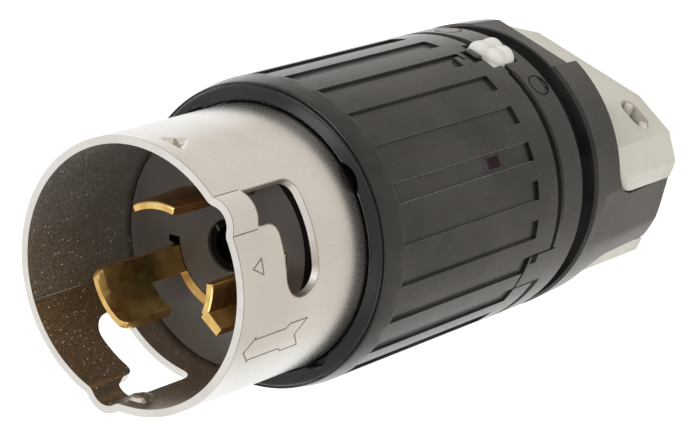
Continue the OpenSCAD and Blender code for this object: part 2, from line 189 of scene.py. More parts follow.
tree, polar_in, polar_out = new_group(
    "round the axis", [("Position", VECTOR, None)],
    [("Angle", FLOAT), ("Radius", FLOAT), ("Height", FLOAT)])
parts = node(tree, "ShaderNodeSeparateXYZ", Vector=polar_in["Position"])
turn = math_node(tree, "ARCTAN2", parts.outputs[1], parts.outputs[0])
tree.links.new(math_node(tree, "MULTIPLY", turn, 180 / math.pi), polar_out["Angle"])
flat = node(tree, "ShaderNodeVectorMath", _0=polar_in["Position"], _1=(1, 1, 0))
flat.operation = "MULTIPLY"
size = node(tree, "ShaderNodeVectorMath", _0=flat.outputs[0])
size.operation = "LENGTH"
tree.links.new(size.outputs["Value"], polar_out["Radius"])
tree.links.new(parts.outputs[2], polar_out["Height"])
ROUND_THE_AXIS = tree
print("pattern groups", len(bpy.data.node_groups))

# %% [markdown]
# The plug has two families of surface, moulded plastic and bare or plated
# metal. Each family is one function, so that its finishes differ only in
# colour, gloss and the size of their patterns. The patterns read a position in
# millimetres, from Object coordinates, so they stay put when a piece moves.

# %% Helpers for materials
PRINCIPLED = "Principled BSDF"
GRAIN_LOW, GRAIN_HIGH = 0.25, 0.75   # the part of the grain that changes the gloss
PLASTIC_CLOUD, PLASTIC_BUMP, METAL_BUMP = 14.0, 0.05, 0.03      # in mm


def finish_of(name):
    """A new material with a Principled shader, and its position in millimetres."""
    made = bpy.data.materials.new(name)
    made.use_nodes = True
    tree = made.node_tree
    coordinates = tree.nodes.new("ShaderNodeTexCoord")
    scaled = node(tree, "ShaderNodeVectorMath", Vector=coordinates.outputs["Object"])
    scaled.operation = "SCALE"
    scaled.inputs["Scale"].default_value = 1 / MM
    return made, tree, tree.nodes[PRINCIPLED], scaled.outputs[0]


def placed(tree, group, **inputs):
    """The outputs of a pattern group that is placed in a material."""
    made = tree.nodes.new("ShaderNodeGroup")
    made.node_tree = group
    for key, value in inputs.items():
        socket = made.inputs[key.replace("_", " ")]
        if isinstance(value, bpy.types.NodeSocket):
            tree.links.new(value, socket)
        else:
            socket.default_value = value
    return made.outputs


def bump(tree, shader, height, strength, distance):
    made = node(tree, "ShaderNodeBump", Height=height, Strength=strength,
                Distance=distance * MM)
    tree.links.new(made.outputs[0], shader.inputs["Normal"])


def vary_roughness(tree, shader, pattern, roughness, spread):
    tree.links.new(remap(tree, pattern["Grain"], GRAIN_LOW, GRAIN_HIGH, roughness - spread,
                         roughness + spread), shader.inputs["Roughness"])


def plastic(name, dark, pale, roughness, spread, grain, relief, specks=0.0,
            speck_colour=(0.25, 0.25, 0.25, 1)):
    """Moulded plastic: cloudy colour, fine grain, a few specks of dust."""
    made, tree, shader, position = finish_of(name)
    pattern = placed(tree, CLOUD_AND_GRAIN, Position=position, Cloud_size=PLASTIC_CLOUD,
                     Grain_size=grain)
    colour = mix_colour(tree, pattern["Cloud"], dark, pale)
    if specks:
        mask = placed(tree, DUST_SPECKS, Position=position, Spacing=1.9, Speck_radius=0.1,
                      Share=specks)["Mask"]
        colour = mix_colour(tree, mask, colour, speck_colour)
    tree.links.new(colour, shader.inputs["Base Color"])
    vary_roughness(tree, shader, pattern, roughness, spread)
    bump(tree, shader, pattern["Grain"], relief, PLASTIC_BUMP)
    return made


def metal(name, bright, dull, roughness, spread, grain, relief, scratches=0.3, cloud=8.0):
    """Bare or plated metal: patches of tarnish, grain and fine scratches."""
    made, tree, shader, position = finish_of(name)
    pattern = placed(tree, CLOUD_AND_GRAIN, Position=position, Cloud_size=cloud,
                     Grain_size=grain)
    lines = placed(tree, SCRATCHES, Position=position, Density=scratches)["Mask"]
    colour = mix_colour(tree, pattern["Cloud"], dull, bright)
    colour = mix_colour(tree, lines, colour, bright)
    tree.links.new(colour, shader.inputs["Base Color"])
    vary_roughness(tree, shader, pattern, roughness, spread)
    shader.inputs["Metallic"].default_value = 1.0
    bump(tree, shader, pattern["Grain"], relief, METAL_BUMP)
    return made


print("helpers for materials are ready")

# %% [markdown]
# The finishes of the real plug: satin nickel plate outside the shroud and a
# duller brown-grey inside it, black nylon, a greyer moulding for the insulator,
# golden brass with browner patches, ivory nylon for the jaws and latch, and zinc
# plate on the screws. A darker brass, a dull black, darker and paler nickel and a paler
# nylon are painted shade and painted highlights. Gloss that is the same all over is set on the shader's
# own
# sockets: a thin coat and a sheen give black nylon its soft light at a slant.

# %% Finishes
NYLON = plastic("black nylon", dark=(0.010, 0.009, 0.0085, 1), pale=(0.030, 0.0275, 0.0255, 1),
                roughness=0.36, spread=0.1, grain=0.35, relief=0.2, specks=0.2)
LIP_NYLON = plastic("black nylon lip", dark=(0.010, 0.010, 0.0105, 1),
                    pale=(0.020, 0.019, 0.019, 1), roughness=0.42, spread=0.06, grain=0.3,
                    relief=0.25, specks=0.16)
PHENOLIC = plastic("insulator moulding", dark=(0.085, 0.077, 0.071, 1),
                   pale=(0.115, 0.105, 0.095, 1), roughness=0.36, spread=0.06, grain=0.25,
                   relief=0.2, specks=0.2)
# A paler nylon: a painted highlight on the lit side of the body's rounded edges.
EDGE_HIGHLIGHT = plastic("painted edge highlight", dark=(0.10, 0.096, 0.09, 1), pale=(0.15, 0.142, 0.133, 1),
                    roughness=0.36, spread=0.06, grain=0.3, relief=0.2)
NYLON_GLOSS = {"Specular IOR Level": 0.18, "Coat Weight": 0.4, "Coat Roughness": 0.22,
               "Sheen Weight": 1.0, "Sheen Roughness": 0.25}
for moulded in (NYLON, LIP_NYLON, EDGE_HIGHLIGHT):
    for socket, value in NYLON_GLOSS.items():
        moulded.node_tree.nodes[PRINCIPLED].inputs[socket].default_value = value
IVORY = plastic("ivory nylon", dark=(0.70, 0.67, 0.59, 1), pale=(0.77, 0.74, 0.67, 1),
                roughness=0.4, spread=0.05, grain=0.6, relief=0.15, specks=0.03,
                speck_colour=(0.3, 0.27, 0.2, 1))
IVORY.node_tree.nodes[PRINCIPLED].inputs["Subsurface Weight"].default_value = 0.15
IVORY.node_tree.nodes[PRINCIPLED].inputs["Subsurface Scale"].default_value = 2 * MM
ACETAL = plastic("latch acetal", dark=(0.84, 0.82, 0.755, 1), pale=(0.88, 0.865, 0.81, 1),
                 roughness=0.35, spread=0.05, grain=0.6, relief=0.15)
GATE = plastic("gate mark", dark=(0.020, 0.006, 0.011, 1), pale=(0.04, 0.014, 0.024, 1),
               roughness=0.5, spread=0.05, grain=0.3, relief=0.3)
# A dull black for painted shade: in the joints, the holes, the pin marks and under the hooks, and as a
# painted shadow on the insulator's face.
SHADE_BLACK = plastic("painted shade black", dark=(0.003, 0.003, 0.003, 1), pale=(0.006, 0.006, 0.006, 1),
                 roughness=0.6, spread=0.05, grain=0.3, relief=0.2)
for dull in (GATE, SHADE_BLACK):
    dull.node_tree.nodes[PRINCIPLED].inputs["Specular IOR Level"].default_value = 0.08
BRASS = metal("bright brass", bright=(0.98, 0.71, 0.27, 1), dull=(0.74, 0.45, 0.15, 1),
              roughness=0.3, spread=0.03, grain=1.6, relief=0.01, scratches=0.5, cloud=4.0)
# A darker copy of the brass: painted shade on the blades' sides.
SHADED_BRASS = metal("painted shade brass", bright=(0.60, 0.33, 0.10, 1), dull=(0.36, 0.19, 0.06, 1),
                   roughness=0.36, spread=0.03, grain=1.6, relief=0.01, scratches=0.5, cloud=4.0)
NICKEL = metal("satin nickel", bright=(0.83, 0.81, 0.79, 1), dull=(0.75, 0.73, 0.70, 1),
               roughness=0.28, spread=0.05, grain=0.28, relief=0.2, scratches=0.1, cloud=16.0)
# A paler nickel: a painted highlight on the cut faces of the shroud.
CUT_HIGHLIGHT = metal("painted cut highlight", bright=(0.88, 0.87, 0.85, 1), dull=(0.80, 0.79, 0.77, 1),
                    roughness=0.4, spread=0.04, grain=0.5, relief=0.05)
# A darker nickel: painted shade beside the shroud's edges and on one side of each dent.
PAINTED_SHADE_METAL = metal("painted shade on nickel", bright=(0.46, 0.41, 0.34, 1), dull=(0.36, 0.31, 0.24, 1),
                roughness=0.4, spread=0.05, grain=0.3, relief=0.1)
# A dark nickel: painted shade in the creases and in the stamped grooves.
GROOVE_SHADE = metal("painted groove shade", bright=(0.30, 0.28, 0.25, 1), dull=(0.22, 0.20, 0.18, 1),
                roughness=0.45, spread=0.05, grain=0.3, relief=0.1, scratches=0.0)
ZINC = metal("zinc plate", bright=(0.62, 0.62, 0.62, 1), dull=(0.45, 0.45, 0.44, 1),
             roughness=0.3, spread=0.06, grain=0.3, relief=0.3)
print("finishes", len(bpy.data.materials))

# %% [markdown]
# The tube is rolled and joined, and inside it the seam shows as a fine ridge.
# Past the seam the bare metal is browner than before it, and dust clings to it
# all over. It could be drawn as geometry, but a bump that depends on the angle
# round the plug's axis is enough for so low a ridge.

# %% Inside of the shroud
SEAM = -138.0                        # where the tube closes, in degrees
SEAM_BLUR, RIDGE_HALF_WIDTH = 0.4, 0.7                   # in degrees
BROWN_FULL, BROWN_GONE = -60.0, 10.0                     # in degrees
GRAIN_SHARE, RIDGE_STRENGTH, RIDGE_HEIGHT = 0.1, 0.8, 0.3
NICKEL_INSIDE, tree, shader, position = finish_of("dull nickel inside")
pattern = placed(tree, CLOUD_AND_GRAIN, Position=position, Cloud_size=22.0, Grain_size=0.5)
polar = placed(tree, ROUND_THE_AXIS, Position=position)
brown = math_node(tree, "MULTIPLY",
                  remap(tree, polar["Angle"], SEAM - SEAM_BLUR, SEAM + SEAM_BLUR),
                  remap(tree, polar["Angle"], BROWN_FULL, BROWN_GONE, 1.0, 0.0))
grey_side = mix_colour(tree, pattern["Cloud"], (0.50, 0.47, 0.45, 1), (0.62, 0.60, 0.58, 1))
brown_side = mix_colour(tree, pattern["Cloud"], (0.46, 0.36, 0.27, 1), (0.55, 0.46, 0.37, 1))
colour = mix_colour(tree, brown, grey_side, brown_side)
dust = placed(tree, DUST_SPECKS, Position=position, Spacing=1.0, Speck_radius=0.13,
              Share=0.6)["Mask"]
off_seam = math_node(tree, "ABSOLUTE", math_node(tree, "SUBTRACT", polar["Angle"], SEAM))
ridge = remap(tree, off_seam, 0.0, RIDGE_HALF_WIDTH, 1.0, 0.0)
fine = math_node(tree, "MULTIPLY", pattern["Grain"], GRAIN_SHARE)
tree.links.new(mix_colour(tree, dust, colour, (0.9, 0.88, 0.84, 1)), shader.inputs["Base Color"])
vary_roughness(tree, shader, pattern, roughness=0.42, spread=0.08)
tree.links.new(math_node(tree, "SUBTRACT", 1.0, dust), shader.inputs["Metallic"])
bump(tree, shader, math_node(tree, "ADD", ridge, fine), RIDGE_STRENGTH, RIDGE_HEIGHT)
print("inside finish", len(tree.nodes), "nodes")

# %% [markdown]
# The shroud is a drawn sheet-metal tube with two J-shaped windows, two entry
# channels pressed outward and two dents pressed inward. A round tube could be
# cut with solids, but then its grid would not follow the cuts. Here the sheet is
# cut while it is flat, and then rolled. Its windows are given as a distance to their edge, so that a grid
# can be trimmed and its border drawn exactly on to that edge.

# %% Windows of the sheet
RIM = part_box("shell")[1].z / MM
SHROUD_R, WALL = 28.0, 1.6
PER_DEGREE = SHROUD_R * math.pi / 180
CHANNELS, CHANNEL_LENGTH = (57.0, -82.0), 7.8            # degrees; mm from the rim
SLOT_BACK, SLOT_FRONT = 24.0, 13.7                       # mm from the rim
SLOT_SWEEP, HALF_CHANNEL = 40.5, 7.7                     # degrees
SQUARE, TIGHT, ROUND = 0.4, 1.0, 3.0                     # corner radii in mm


def box_distance(x, y, x0, x1, y0, y1, radii):
    """Signed distance to a box whose corners (--, +-, -+, ++) have their own radii."""
    px, py = x - (x0 + x1) / 2, y - (y0 + y1) / 2
    r = radii[(1 if px > 0 else 0) + (2 if py > 0 else 0)]
    qx = abs(px) - (x1 - x0) / 2 + r
    qy = abs(py) - (y1 - y0) / 2 + r
    return min(max(qx, qy), 0) + math.hypot(max(qx, 0), max(qy, 0)) - r


def window_distance(angle, height):
    """Distance in mm from a point of the sheet to the nearest window's edge."""
    half, end = HALF_CHANNEL * PER_DEGREE, -SLOT_SWEEP * PER_DEGREE
    depth = (SLOT_BACK - SLOT_FRONT) / 2
    nearest = math.inf
    for channel in CHANNELS:
        x = (angle - channel) * PER_DEGREE
        entry = box_distance(x, height, -half, half, RIM - SLOT_BACK, RIM - CHANNEL_LENGTH,
                             (TIGHT, ROUND, SQUARE, SQUARE))
        turn = box_distance(x, height, end, half, RIM - SLOT_BACK, RIM - SLOT_FRONT,
                            (depth, ROUND, depth, SQUARE / 2))
        joined = min(entry, turn)
        if math.hypot(x + half, height - RIM + SLOT_FRONT) < ROUND:
            # the two cuts meet in a rounded corner
            blend = max(ROUND - abs(entry - turn), 0) / ROUND
            joined -= blend * blend * ROUND / 4
        nearest = min(nearest, joined)
    return nearest


def away_from_window(angle, height, step=0.02):
    """Unit direction, across and along the sheet, in which that distance grows."""
    across = (window_distance(angle + step / PER_DEGREE, height)
              - window_distance(angle - step / PER_DEGREE, height))
    along = window_distance(angle, height + step) - window_distance(angle, height - step)
    length = math.hypot(across, along) or 1
    return across / length, along / length


print("rim at", round(RIM, 2), "mm; solid metal at 0 degrees:", round(window_distance(0, RIM - 5), 2))

# %% [markdown]
# A press raises the two channels and sinks the two dents. Both are written as
# one radius for each point of the sheet: a channel is a small tube that stands
# at the wall and fades out below the window's edge, and a dent is a three-sided
# hollow with its flat side toward the rim.

# %% Pressings of the sheet
CHANNEL_CENTRE, CHANNEL_R, CHANNEL_SOFT = 24.3, 5.4, 0.35
CHANNEL_REACH = 0.4                  # radians each side
FADE_START, FADE_END = 2.6, 0.2      # mm below the channel's end
DENTS, DENT_FROM_RIM = (97.5, -71.0), 5.6                # degrees; mm
DENT_HALF, DENT_DEPTH = 1.6, 1.15
DENT_SLOPE = (0.4, -1.5)             # where the dent's side begins and ends


def smooth_step(low, high, value):
    t = min(max((value - low) / (high - low), 0), 1)
    return t * t * (3 - 2 * t)


def sheet_radius(angle, height):
    """Outer radius of the shroud in mm, with its channels and dents."""
    r = SHROUD_R
    foot = RIM - CHANNEL_LENGTH
    for channel in CHANNELS:
        d = math.radians(angle - channel)
        side = CHANNEL_CENTRE * math.sin(d)
        if abs(d) < CHANNEL_REACH and abs(side) < CHANNEL_R:
            pressed = CHANNEL_CENTRE * math.cos(d) + math.sqrt(CHANNEL_R ** 2 - side ** 2)
            k = max(CHANNEL_SOFT - abs(pressed - SHROUD_R), 0) / CHANNEL_SOFT
            raised = max(pressed, SHROUD_R) + k * k * CHANNEL_SOFT / 4
            r += (raised - SHROUD_R) * smooth_step(foot - FADE_START, foot - FADE_END, height)
    for dent in DENTS:
        x = (angle - dent) * PER_DEGREE
        y = height - (RIM - DENT_FROM_RIM)
        # the two slanted sides stand at 60 degrees
        d = max(y - DENT_HALF, -y * 0.5 + abs(x) * 0.87 - DENT_HALF)
        r -= DENT_DEPTH * smooth_step(*DENT_SLOPE, d)
    return r


print("radius over a channel", round(sheet_radius(CHANNELS[0], RIM), 2), "mm")

# %% [markdown]
# Every new piece ends the same way: its mesh becomes an object with its
# finishes, rides on a body, and may stand for a CAD node. Smooth shading stops
# at sharp edges, because a real edge breaks the light there.

# %% Helpers for pieces
def clean(bm, distance=0.001):
    bmesh.ops.remove_doubles(bm, verts=bm.verts[:], dist=distance * MM)


def object_from(bm, name, materials):
    mesh = bpy.data.meshes.new(name)
    bm.to_mesh(mesh)
    bm.free()
    for made in materials:
        mesh.materials.append(made)
    piece = bpy.data.objects.new(name, mesh)
    bpy.context.scene.collection.objects.link(piece)
    return piece


def shade(bm, sharp=40):
    """Smooth shading, with creases kept where faces meet at more than an angle."""
    for face in bm.faces:
        face.smooth = True
    for edge in bm.edges:
        if len(edge.link_faces) == 2:
            edge.smooth = edge.calc_face_angle(0) < math.radians(sharp)


def settle(piece, body, slot, *nodes):
    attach(piece, body)
    if nodes:
        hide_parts(*nodes)
    return piece


def on_axis(radius, angle, height):
    """A point from its radius, its angle in degrees and its height, in mm."""
    turn = math.radians(angle)
    return Vector((radius * math.cos(turn), radius * math.sin(turn), height)) * MM


def faces_outward(face):
    """How far a face looks out from the axis: 1 is straight out, -1 straight in."""
    centre = face.calc_center_median()
    return face.normal.dot(Vector((centre.x, centre.y, 0)).normalized())


print("helpers for pieces are ready")

# %% [markdown]
# The sheet starts as a flat grid, with degrees across and millimetres up. Its
# rows lie closer at the windows. Faces inside a window go, the border is drawn
# on to the window's edge, and the grid is rolled and pressed in one step. Its
# doubles are merged at the seam before it gets its wall.

# %% Rolled sheet
COLUMNS, ROWS, COARSE_ROWS = 432, 78, 12
SHEET_FOOT, FINE_LENGTH = 112.6, 26.5                    # mm: lowest edge; fine part at the rim
SNAP_PASSES, SNAP_REACH = 4, 0.7


def sheet_height(row):
    """Height of a row of the grid: coarse low down, fine at the windows."""
    if row <= COARSE_ROWS:
        return SHEET_FOOT + (RIM - FINE_LENGTH - SHEET_FOOT) * row / COARSE_ROWS
    return RIM - FINE_LENGTH + FINE_LENGTH * (row - COARSE_ROWS) / (ROWS - COARSE_ROWS)


bm = bmesh.new()
bmesh.ops.create_grid(bm, x_segments=COLUMNS, y_segments=ROWS, size=0.5)
for vert in bm.verts:
    vert.co = Vector((SEAM + 360 * (vert.co.x + 0.5),
                      sheet_height(round((vert.co.y + 0.5) * ROWS, 4)), 0))
inside = [f for f in bm.faces if window_distance(*f.calc_center_median().xy) < 0]
bmesh.ops.delete(bm, geom=inside, context="FACES")
bmesh.ops.delete(bm, geom=[v for v in bm.verts if not v.link_faces], context="VERTS")
for vert in {v for e in bm.edges if e.is_boundary for v in e.verts}:
    for _ in range(SNAP_PASSES):
        gap = window_distance(vert.co.x, vert.co.y)
        if abs(gap) > SNAP_REACH:
            break
        across, along = away_from_window(vert.co.x, vert.co.y)
        vert.co.x -= gap * across / PER_DEGREE
        vert.co.y -= gap * along
for vert in bm.verts:
    angle, height = vert.co.xy
    vert.co = on_axis(sheet_radius(angle, height), angle, height)
clean(bm, 0.01)
bmesh.ops.recalc_face_normals(bm, faces=bm.faces[:])
if faces_outward(max(bm.faces, key=lambda f: f.calc_area())) < 0:
    bmesh.ops.reverse_faces(bm, faces=bm.faces[:])
bmesh.ops.solidify(bm, geom=bm.faces[:], thickness=WALL * MM)
widest = max(vert.co.xy.length for vert in bm.verts) / MM
print("shroud radius after its wall:", round(widest, 2))

# %% [markdown]
# A narrow band of the outer face beside each cut edge is painted darker: painted
# shade along the edge. The cut itself is painted brighter: a painted highlight. The band is
# an inset of the outer faces, which follows every window and the rim. One side
# of each dent is painted dark: painted shade.

# %% Finishes of the shroud
INSIDE, SHADE_BAND, CUT = 1, 2, 3          # places in the list of finishes; the outside is 0
SHADE_WIDTH = 0.24
LOOKS_OUT, LOOKS_IN = 0.5, -0.8
SHADE_FROM, SHADE_TO = -2.1, 2.0       # degrees across a dent
SHADE_LOW, SHADE_HIGH = -1.3, 1.6      # mm along it


def in_dent_shade(angle, height):
    """Whether a point of the sheet is on the side of a dent that is painted dark, as painted shade."""
    along = height - (RIM - DENT_FROM_RIM)
    return any(SHADE_FROM < angle - dent < SHADE_TO - along and SHADE_LOW < along < SHADE_HIGH
               for dent in DENTS)


outer = [face for face in bm.faces if faces_outward(face) > LOOKS_OUT]
# the inset band beside every edge gets the painted shade
for face in bmesh.ops.inset_region(bm, faces=outer, use_even_offset=False,
                                   thickness=SHADE_WIDTH * MM)["faces"]:
    face.material_index = SHADE_BAND
# cut faces get the painted highlight, and one side of each dent gets the painted shade
for face in bm.faces:
    centre = face.calc_center_median() / MM
    outward = faces_outward(face)
    if outward < LOOKS_IN:
        face.material_index = INSIDE
    elif outward < LOOKS_OUT:
        face.material_index = CUT
    if outward > 0 and in_dent_shade(math.degrees(math.atan2(centre.y, centre.x)), centre.z):
        face.material_index = SHADE_BAND
shade(bm, 50)
shroud = settle(object_from(bm, "shroud", [NICKEL, NICKEL_INSIDE, PAINTED_SHADE_METAL, CUT_HIGHLIGHT]), "plug",
                "nickel", "shell")
counts = [0, 0, 0, 0]
for polygon in shroud.data.polygons:
    counts[polygon.material_index] += 1
print("shroud", len(shroud.data.vertices), "vertices; faces by finish", counts)

# %% [markdown]
# Where a channel leaves the round wall the sheet is creased, and the shade in
# the crease is painted as a dark line on each side. Each is a narrow strip that follows the
# pressed sheet, a hair above it.

# %% Painted shade in the creases beside the channels
LIFT = 0.03                          # stands clear of the surface, so that it shows
CREASE, CREASE_WIDTH = 8.7, 0.45     # degrees from a channel's middle, and degrees wide
CREASE_LENGTH, CREASE_FROM_RIM = 7.4, 0.4


def flat_sheet(across, along, columns, rows):
    """A flat grid centred on the origin."""
    bm = bmesh.new()
    bmesh.ops.create_grid(bm, x_segments=columns, y_segments=rows, size=0.5)
    bmesh.ops.scale(bm, vec=(across, along, 1), verts=bm.verts)
    return bm


for channel, where in zip(CHANNELS, ("front", "back")):
    for side, hand in ((-1, "right"), (1, "left")):
        # a dark strip of painted shade along the crease
        bm = flat_sheet(CREASE_WIDTH, CREASE_LENGTH, 1, 8)
        for vert in bm.verts:
            angle = channel + side * CREASE + vert.co.x
            height = RIM - CREASE_FROM_RIM - CREASE_LENGTH / 2 + vert.co.y
            vert.co = on_axis(sheet_radius(angle, height) + LIFT, angle, height)
        bmesh.ops.recalc_face_normals(bm, faces=bm.faces[:])
        crease = object_from(bm, f"crease_{where}_{hand}", [GROOVE_SHADE])
        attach(crease, "plug")
        print(crease.name, len(crease.data.polygons), "faces")

# %% [markdown]
# Two signs are stamped in the shroud: a long arrow for the way in, and a small
# triangle beside the first window for the way to turn. The words that plugs
# carry beside them are left out. Each outline is drawn flat, inset to leave a
# thin dark line of painted shade for the stamped groove, cut into short lengths and rolled on to the
# tube.

# %% Stamped arrow and triangle
# half an outline each: mm across and from the rim
ARROW = [(0, -2.9), (3.2, -5.8), (2.55, -5.8), (2.55, -15.5), (3.4, -16.5), (3.4, -22.3),
         (0, -19.5)]
TRIANGLE = [(0, -3.4), (1.8, -6.75)]
ARROW_ANGLE, TRIANGLE_ANGLE, LINE_WIDTH = -1.05, 33.9, 0.26
LONGEST_EDGE = 1.2                   # mm, past which an edge is cut so that it can bend


def half_outline(half):
    """A new mesh with one flat face: half an outline and its mirror image."""
    bm = bmesh.new()
    outline = half + [(-x, y) for x, y in reversed(half) if x > 0]
    bm.faces.new([bm.verts.new((x, y, 0)) for x, y in outline])
    bm.normal_update()
    return bm


def roll(bm, name, radius, angle, height, finish, body="plug"):
    """Rolls a flat mesh on to a tube round the plug's axis."""
    for vert in bm.verts:
        turn = math.radians(angle) + vert.co.x / radius
        vert.co = Vector((radius * math.cos(turn), radius * math.sin(turn),
                          height + vert.co.y)) * MM
    bmesh.ops.recalc_face_normals(bm, faces=bm.faces[:])
    piece = object_from(bm, name, [finish])
    print(name, len(piece.data.polygons), "faces")
    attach(piece, body)
    return piece


def rolled_line(bm, name, width, radius, angle, height, finish):
    """Keeps a thin line along the edge of a flat face, and rolls it on to a tube."""
    face = bm.faces[:][0]
    bmesh.ops.inset_region(bm, faces=[face], use_boundary=True, use_even_offset=True,
                           thickness=width)
    bmesh.ops.delete(bm, geom=[face], context="FACES_ONLY")
    long_edges = [e for e in bm.edges if e.calc_length() > LONGEST_EDGE]
    bmesh.ops.subdivide_edges(bm, edges=long_edges, cuts=6)
    return roll(bm, name, radius, angle, height, finish)


# the outlines are dark lines of painted shade for the stamped grooves
rolled_line(half_outline(ARROW), "stamped_arrow", LINE_WIDTH, SHROUD_R + LIFT, ARROW_ANGLE, RIM,
            GROOVE_SHADE)
rolled_line(half_outline(TRIANGLE), "stamped_triangle", LINE_WIDTH, SHROUD_R + LIFT,
            TRIANGLE_ANGLE, RIM, GROOVE_SHADE)

# %% [markdown]
# The moulded and turned pieces keep their CAD shape, but real ones have no
# razor edges. Each is made again from a merged copy of its solid: triangles in
# one plane are joined, sharp edges are rounded, and the shading is evened. A
# rounded edge catches a thin line of light, as the real one does. On the body,
# the rounded faces that look one way round the axis are painted pale: a painted highlight on the lit side
# of each edge.

# %% Pieces that keep their solid's shape
FLAT_ANGLE, HIGHLIGHT_SIDE = 0.6, 0.15    # degrees; how far a rounded face with the painted highlight looks round the axis


def soften(bm, width, sharp=28, segments=2):
    """Rounds the edges where two faces meet at more than an angle."""
    edges = [e for e in bm.edges
             if len(e.link_faces) == 2 and e.calc_face_angle(0) > math.radians(sharp)]
    return bmesh.ops.bevel(bm, geom=edges, offset=width * MM, offset_type="OFFSET",
                           segments=segments, profile=0.5, affect="EDGES",
                           clamp_overlap=True, material=-1)["faces"]


def even_normals(piece):
    """Shades flat faces flat beside their rounded edges."""
    modifier = piece.modifiers.new("even normals", "WEIGHTED_NORMAL")
    modifier.keep_sharp = True
    modifier.weight = 50


def dressed(name, title, finish, slot, width, segments=2, highlight_finish=None):
    """A rounded copy of a CAD node, which takes the node's place."""
    bm = bmesh.new()
    bm.from_mesh(frame["nodes"][name].data)
    clean(bm)
    bmesh.ops.dissolve_limit(bm, angle_limit=math.radians(FLAT_ANGLE),
                             use_dissolve_boundaries=False, verts=bm.verts[:], edges=bm.edges[:])
    rounded = soften(bm, width, segments=segments)
    # rounded faces that look one way round the axis get the painted highlight
    for face in rounded if highlight_finish else []:
        centre = face.calc_center_median()
        if face.normal.dot(Vector((-centre.y, centre.x, 0)).normalized()) > HIGHLIGHT_SIDE:
            face.material_index = 1
    shade(bm)
    piece = object_from(bm, title, [finish, highlight_finish] if highlight_finish else [finish])
    even_normals(piece)
    settle(piece, BODY_OF[name], slot, name)
    print(title, len(piece.data.polygons), "faces")
    return piece


dressed("face_ring", "lip", LIP_NYLON, "nylon", 0.2)
dressed("front_body", "ribbed_body", NYLON, "nylon", 0.15, highlight_finish=EDGE_HIGHLIGHT)
INSULATOR = dressed("contact_base", "insulator", PHENOLIC, "phenolic", 0.2)
BLADES = {n: dressed(f"blade_{n}", f"contact_{n}", BRASS, "brass", 0.25, segments=3)
          for n in ("large", "plain", "keyed")}
dressed("rear_housing", "cord_housing", NYLON, "nylon", 0.25)
LATCH = dressed("latch", "release_latch", ACETAL, "ivory", 0.2)
for n in ("upper", "lower"):
    dressed(f"{n}_jaw", f"{n}_clamp_jaw", IVORY, "ivory", 0.6, segments=3)
for n in ("large", "plain", "keyed", "ground"):
    dressed(f"terminal_{n}", f"wire_block_{n}", BRASS, "brass", 0.2)
    dressed(f"wire_screw_{n}", f"pressure_screw_{n}", ZINC, "zinc", 0.08)
dressed("ground_strap", "earthing_strap", BRASS, "brass", 0.15)
for n in ("left", "right"):
    dressed(f"housing_screw_{n}", f"assembly_screw_{n}", ZINC, "zinc", 0.15)
    dressed(f"clamp_screw_{n}", f"jaw_screw_{n}", ZINC, "zinc", 0.15)
    dressed(f"clamp_nut_{n}", f"jaw_nut_{n}", ZINC, "zinc", 0.2)

# %% [markdown]
# A finger presses the latch, so its two lobes are dished in the middle and
# end in soft humps. Sculpting them from nothing would lose the fit of the
# stem. So the CAD shape is cut across at a few heights, and only what stands
# above the stem is shortened, pinched and dipped.

# %% Latch
LOBE_OFFSET, CLOSER = 2.7, 2.0       # a lobe's middle; how far the front one's top comes back
PINCH, DIP = 0.08, 0.5               # how much a lobe narrows and sinks at its middle
RAISE, BACK = 0.9, 0.8               # the tops move up, and toward the cord
SHORTEN = {False: 0.74, True: 0.6}   # length of the back lobe's top, and of the front one's
CUTS = (-4.5, -3, -2.2, -1.5, -0.7, 0, 0.7, 1.5, 2.2, 3, 4.5)
TOP_FROM, TOP_FULL = 4.5, 2.5        # mm below the highest point, where the tops change
HOLLOW_FROM, HOLLOW_FULL, HOLLOW_LENGTH = 3.0, 1.0, 1.5
low, high = (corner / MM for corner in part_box("latch"))
middle = (low + high) / 2


def cut_across(bm, heights):
    """Cuts a mesh at several heights, so that it can bend there."""
    for height in heights:
        bmesh.ops.bisect_plane(bm, geom=bm.verts[:] + bm.edges[:] + bm.faces[:],
                               plane_co=(0, 0, height * MM), plane_no=(0, 0, 1))


bm = bmesh.new()
bm.from_mesh(LATCH.data)
cut_across(bm, [middle.z + cut for cut in CUTS])
for vert in bm.verts:
    x, y, z = vert.co / MM
    front = x > middle.x
    top = smooth_step(high.y - TOP_FROM, high.y - TOP_FULL, y)
    hollow = (math.exp(-((z - middle.z) / HOLLOW_LENGTH) ** 2)
              * smooth_step(high.y - HOLLOW_FROM, high.y - HOLLOW_FULL, y))
    centre = middle.x + (LOBE_OFFSET if front else -LOBE_OFFSET)
    across = centre + (x - centre) * (1 - PINCH * hollow) - (CLOSER * top if front else 0)
    along = middle.z + (z - middle.z) * (1 + (SHORTEN[front] - 1) * top) - BACK * top
    vert.co = Vector((across, y - DIP * hollow + RAISE * top, along)) * MM
shade(bm, 60)
bm.to_mesh(LATCH.data)
bm.free()
print("latch", len(LATCH.data.polygons), "faces")

# %% [markdown]
# Black nylon stands close round the latch: a sill behind it, a cheek on one
# side and a stop with a small hook ahead of it. Each is a plate that follows
# the body's outside, rolled from a flat sheet and given its thickness and its
# rounding by modifiers. Two thin dark plates stand for the shade under hooks.

